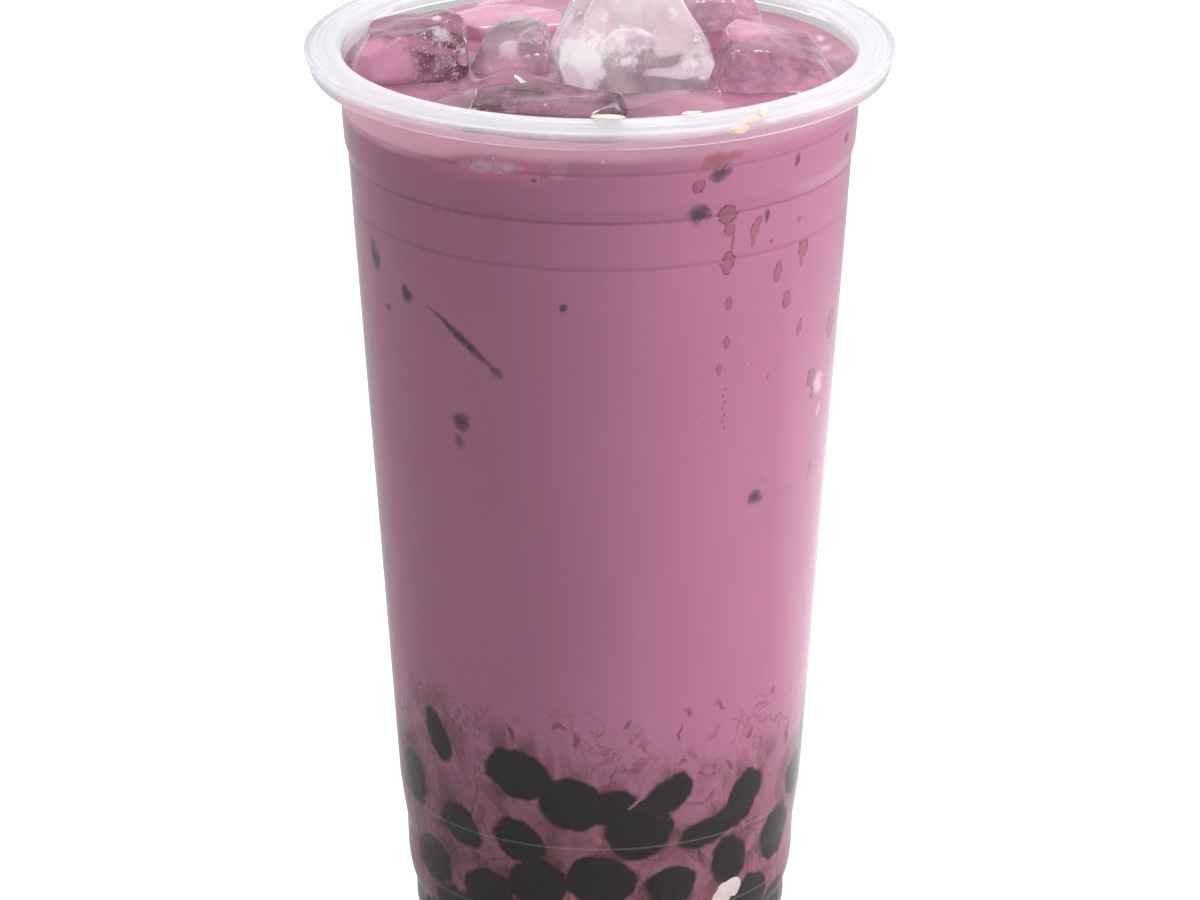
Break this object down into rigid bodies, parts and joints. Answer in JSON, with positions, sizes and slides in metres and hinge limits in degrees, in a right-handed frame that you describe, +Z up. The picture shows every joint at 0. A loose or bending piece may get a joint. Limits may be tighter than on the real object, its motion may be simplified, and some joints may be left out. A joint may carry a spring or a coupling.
{
  "type": "taro bubble tea",
  "caption": "Clear tapered plastic cup of opaque mauve taro milk tea, with ice cubes breaking the surface and dark tapioca pearls settled at the bottom.",
  "frame": {"origin": "middle of the cup's foot, on the surface it stands on", "axes": "+Z up along the cup's axis, -Y towards the picture's viewer, +X to the viewer's right"},
  "size_m": [0.095, 0.095, 0.17],
  "materials": {
    "clear_plastic": "clear moulded plastic, slightly hazy at the rim",
    "milk_tea": "opaque mauve milky liquid, wet surface",
    "tapioca": "near-black wet tapioca",
    "ice": "clear half-melted ice"
  },
  "bodies": {
    "root": {"cup": "clear_plastic", "drink": "milk_tea", "pearls": "tapioca", "ice_tall": "ice", "ice_left": "ice", "ice_round": "ice", "ice_front": "ice", "ice_right": "ice", "ice_back_right": "ice", "ice_back_left": "ice", "ice_back": "ice"}
  },
  "joints": []
}
